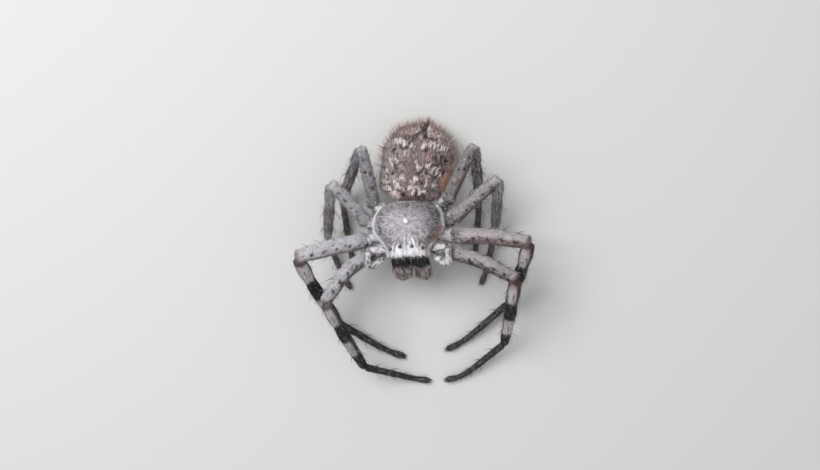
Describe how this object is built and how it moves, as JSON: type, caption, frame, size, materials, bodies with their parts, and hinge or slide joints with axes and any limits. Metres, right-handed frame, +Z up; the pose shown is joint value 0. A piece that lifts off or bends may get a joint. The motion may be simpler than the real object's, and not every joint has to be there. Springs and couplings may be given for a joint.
{
  "type": "huntsman spider",
  "caption": "Life-size still model of a grown female huntsman spider, crouching with its front legs curled forward into a ring on the floor.",
  "frame": {"origin": "on the floor, under the middle of the outline seen from above", "axes": "+Z up, head towards -Y, the spider's left side towards +X"},
  "size_m": [0.0382, 0.045, 0.0163],
  "materials": {
    "carapace_coat": "short mottled grey hair lying flat, with white hairs at the rim, the middle and round the eyes",
    "abdomen_coat": "mottled brown, black and cream hair in tufts, longer at the edges",
    "leg_coat": "grey hair with dark specks",
    "banded_leg_coat": "light and dark bands of short hair, with long fine hairs",
    "jaw_coat": "dark brown cuticle with greyish bristles",
    "underside": "light brown cuticle under thin hair",
    "fang": "polished black-brown horn",
    "eye": "black and glossy"
  },
  "bodies": {
    "root": {"abdomen": "abdomen_coat", "carapace": "carapace_coat", "chelicera_left": "jaw_coat", "chelicera_right": "jaw_coat", "eye_front_middle_left": "eye", "eye_front_middle_right": "eye", "eye_front_side_left": "eye", "eye_front_side_right": "eye", "eye_rear_middle_left": "eye", "eye_rear_middle_right": "eye", "eye_rear_side_left": "eye", "eye_rear_side_right": "eye", "fang_left": "fang", "fang_right": "fang", "labium": "underside", "leg_1_left_coxa": "leg_coat", "leg_1_left_femur": "leg_coat", "leg_1_left_foot": "banded_leg_coat", "leg_1_left_shin": "banded_leg_coat", "leg_1_right_coxa": "leg_coat", "leg_1_right_femur": "leg_coat", "leg_1_right_foot": "banded_leg_coat", "leg_1_right_shin": "banded_leg_coat", "leg_2_left_coxa": "leg_coat", "leg_2_left_femur": "leg_coat", "leg_2_left_foot": "banded_leg_coat", "leg_2_left_shin": "banded_leg_coat", "leg_2_right_coxa": "leg_coat", "leg_2_right_femur": "leg_coat", "leg_2_right_foot": "banded_leg_coat", "leg_2_right_shin": "banded_leg_coat", "leg_3_left_coxa": "leg_coat", "leg_3_left_femur": "leg_coat", "leg_3_left_foot": "banded_leg_coat", "leg_3_left_shin": "banded_leg_coat", "leg_3_right_coxa": "leg_coat", "leg_3_right_femur": "leg_coat", "leg_3_right_foot": "banded_leg_coat", "leg_3_right_shin": "banded_leg_coat", "leg_4_left_coxa": "leg_coat", "leg_4_left_femur": "leg_coat", "leg_4_left_foot": "banded_leg_coat", "leg_4_left_shin": "banded_leg_coat", "leg_4_right_coxa": "leg_coat", "leg_4_right_femur": "leg_coat", "leg_4_right_foot": "banded_leg_coat", "leg_4_right_shin": "banded_leg_coat", "maxilla_left": "underside", "maxilla_right": "underside", "palp_femur_left": "leg_coat", "palp_femur_right": "leg_coat", "palp_tarsus_left": "leg_coat", "palp_tarsus_right": "leg_coat", "palp_tibia_left": "leg_coat", "palp_tibia_right": "leg_coat", "pedicel": "underside", "spinnerets": "underside", "sternum": "underside"}
  },
  "joints": []
}
